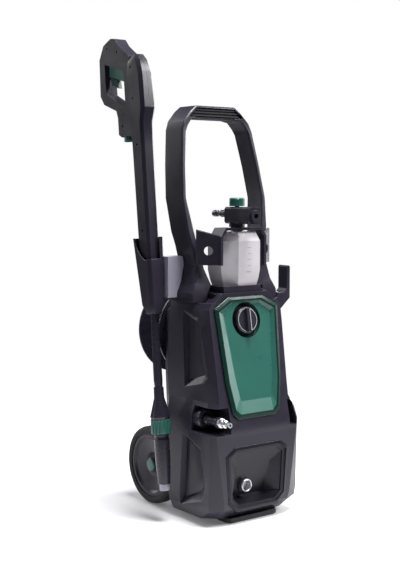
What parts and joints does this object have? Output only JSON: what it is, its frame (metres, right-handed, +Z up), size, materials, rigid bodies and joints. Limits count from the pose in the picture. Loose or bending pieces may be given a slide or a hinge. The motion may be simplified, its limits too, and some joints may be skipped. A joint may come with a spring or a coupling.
{
  "type": "pressure washer",
  "caption": "Upright electric pressure washer with a carrying handle, a holstered spray gun and lance, a foam bottle, a hose drum and rear wheels.",
  "frame": {"origin": "centre of the bounding box in plan, on the floor under the wheels and the front foot", "axes": "+Z up, -Y towards the front panel, +X to the right of a person who faces the front panel from in front"},
  "size_m": [0.34, 0.3648, 1.0358],
  "materials": {
    "front_shell": "fine moulded texture",
    "rear_shell": "fine moulded texture",
    "front_panel": "satin",
    "switch_knob": "satin",
    "switch_box": "plain",
    "inlet_bezel": "satin",
    "inlet_coupling": "turned",
    "inlet_filter": "fine mesh",
    "base_foot": "matt",
    "bottle_tray": "fine moulded texture",
    "handle_frame": "fine moulded texture",
    "grip_insert": "ribbed",
    "bottle_bracket": "fine moulded texture",
    "bottle": "translucent, milky",
    "foam_body": "satin",
    "spray_ring": "satin",
    "foam_tip": "satin",
    "dosing_cap": "ribbed",
    "suction_tube": "translucent",
    "gun_shell_left": "fine moulded texture",
    "gun_shell_right": "fine moulded texture",
    "gun_trigger": "satin",
    "trigger_lock": "satin",
    "hose_release": "satin",
    "hose_socket": "turned",
    "gun_valve": "cast",
    "gun_pipe": "drawn",
    "lance_tube": "satin",
    "nozzle_head": "satin",
    "nozzle_ring": "ribbed",
    "nozzle_barrel": "satin",
    "nozzle_tip": "satin",
    "holster": "fine moulded texture",
    "holster_bracket": "satin",
    "cable_hook": "fine moulded texture",
    "outlet_collar": "satin",
    "outlet_coupling": "satin",
    "outlet_nipple": "turned",
    "hose_drum": "satin",
    "cable_gland": "ribbed",
    "axle_carrier": "moulded",
    "axle": "turned",
    "wheel_left": "satin",
    "wheel_right": "satin",
    "tyre_left": "matt",
    "tyre_right": "matt",
    "hub_cap_left": "gloss",
    "hub_cap_right": "gloss",
    "motor_can": "plain",
    "motor_shaft": "ground",
    "cooling_fan": "plain",
    "wobble_plate": "ground",
    "pump_body": "cast",
    "piston_1": "ground",
    "piston_2": "ground",
    "piston_3": "ground",
    "pump_manifold": "cast",
    "pressure_switch": "plain",
    "inlet_pipe": "turned",
    "outlet_pipe": "turned"
  },
  "bodies": {
    "washer": {"front_shell": "front_shell", "rear_shell": "rear_shell", "front_panel": "front_panel", "switch_box": "switch_box", "inlet_bezel": "inlet_bezel", "inlet_coupling": "inlet_coupling", "inlet_filter": "inlet_filter", "base_foot": "base_foot", "bottle_tray": "bottle_tray", "handle_frame": "handle_frame", "grip_insert": "grip_insert", "bottle_bracket": "bottle_bracket", "holster": "holster", "holster_bracket": "holster_bracket", "cable_hook": "cable_hook", "outlet_collar": "outlet_collar", "outlet_coupling": "outlet_coupling", "outlet_nipple": "outlet_nipple", "hose_drum": "hose_drum", "cable_gland": "cable_gland", "axle_carrier": "axle_carrier", "axle": "axle", "motor_can": "motor_can", "pump_body": "pump_body", "piston_1": "piston_1", "piston_2": "piston_2", "piston_3": "piston_3", "pump_manifold": "pump_manifold", "pressure_switch": "pressure_switch", "inlet_pipe": "inlet_pipe", "outlet_pipe": "outlet_pipe"},
    "wheel_left_spin": {"wheel_left": "wheel_left", "tyre_left": "tyre_left", "hub_cap_left": "hub_cap_left"},
    "wheel_right_spin": {"wheel_right": "wheel_right", "tyre_right": "tyre_right", "hub_cap_right": "hub_cap_right"},
    "switch": {"switch_knob": "switch_knob"},
    "gun": {"gun_shell_left": "gun_shell_left", "gun_shell_right": "gun_shell_right", "hose_socket": "hose_socket", "gun_valve": "gun_valve", "gun_pipe": "gun_pipe", "lance_tube": "lance_tube", "nozzle_head": "nozzle_head", "nozzle_barrel": "nozzle_barrel", "nozzle_tip": "nozzle_tip"},
    "trigger": {"gun_trigger": "gun_trigger"},
    "lock": {"trigger_lock": "trigger_lock"},
    "release": {"hose_release": "hose_release"},
    "nozzle": {"nozzle_ring": "nozzle_ring"},
    "foam_unit": {"bottle": "bottle", "foam_body": "foam_body", "spray_ring": "spray_ring", "foam_tip": "foam_tip", "suction_tube": "suction_tube"},
    "dosing": {"dosing_cap": "dosing_cap"},
    "drive": {"motor_shaft": "motor_shaft", "cooling_fan": "cooling_fan", "wobble_plate": "wobble_plate"}
  },
  "joints": [
    {"name": "wheel_left_turn", "type": "hinge", "parent": "washer", "child": "wheel_left_spin", "pos_m": [-0.08, 0.09157, 0.0875], "axis": [1, 0, 0], "continuous": true},
    {"name": "wheel_right_turn", "type": "hinge", "parent": "washer", "child": "wheel_right_spin", "pos_m": [0.11, 0.09157, 0.0875], "axis": [1, 0, 0], "continuous": true},
    {"name": "switch_turn", "type": "hinge", "parent": "washer", "child": "switch", "pos_m": [0.015, -0.1201, 0.43], "axis": [0, -0.9866, 0.1633], "range_deg": [-90, 0]},
    {"name": "gun_lift", "type": "slide", "parent": "washer", "child": "gun", "axis": [0, 0.0995, 0.995], "range_m": [0, 0.12]},
    {"name": "trigger_pull", "type": "hinge", "parent": "gun", "child": "trigger", "pos_m": [-0.148, 0.07199, 0.94383], "axis": [1, 0, 0], "range_deg": [0, 9], "stiffness_Nm_per_rad": 1.2, "springref_deg": -5.73},
    {"name": "trigger_lock_flip", "type": "hinge", "parent": "gun", "child": "lock", "pos_m": [-0.148, 0.14871, 0.94722], "axis": [1, 0, 0], "range_deg": [0, 35]},
    {"name": "hose_release_press", "type": "slide", "parent": "gun", "child": "release", "axis": [0, 0.0995, 0.995], "range_m": [0, 0.0025], "stiffness_N_per_m": 600, "springref_m": -0.001},
    {"name": "nozzle_turn", "type": "hinge", "parent": "gun", "child": "nozzle", "pos_m": [-0.148, -0.0301, 0.20432], "axis": [0, 0.0995, 0.995], "range_deg": [0, 90]},
    {"name": "foam_unit_slide", "type": "slide", "parent": "washer", "child": "foam_unit", "axis": [0, 1, 0], "range_m": [0, 0.12]},
    {"name": "dosing_turn", "type": "hinge", "parent": "foam_unit", "child": "dosing", "pos_m": [0.015, -0.08443, 0.6725], "axis": [0, 0, 1], "range_deg": [0, 270]},
    {"name": "drive_turn", "type": "hinge", "parent": "washer", "child": "drive", "pos_m": [0.015, -0.04443, 0.35], "axis": [0, 0, 1], "continuous": true}
  ]
}
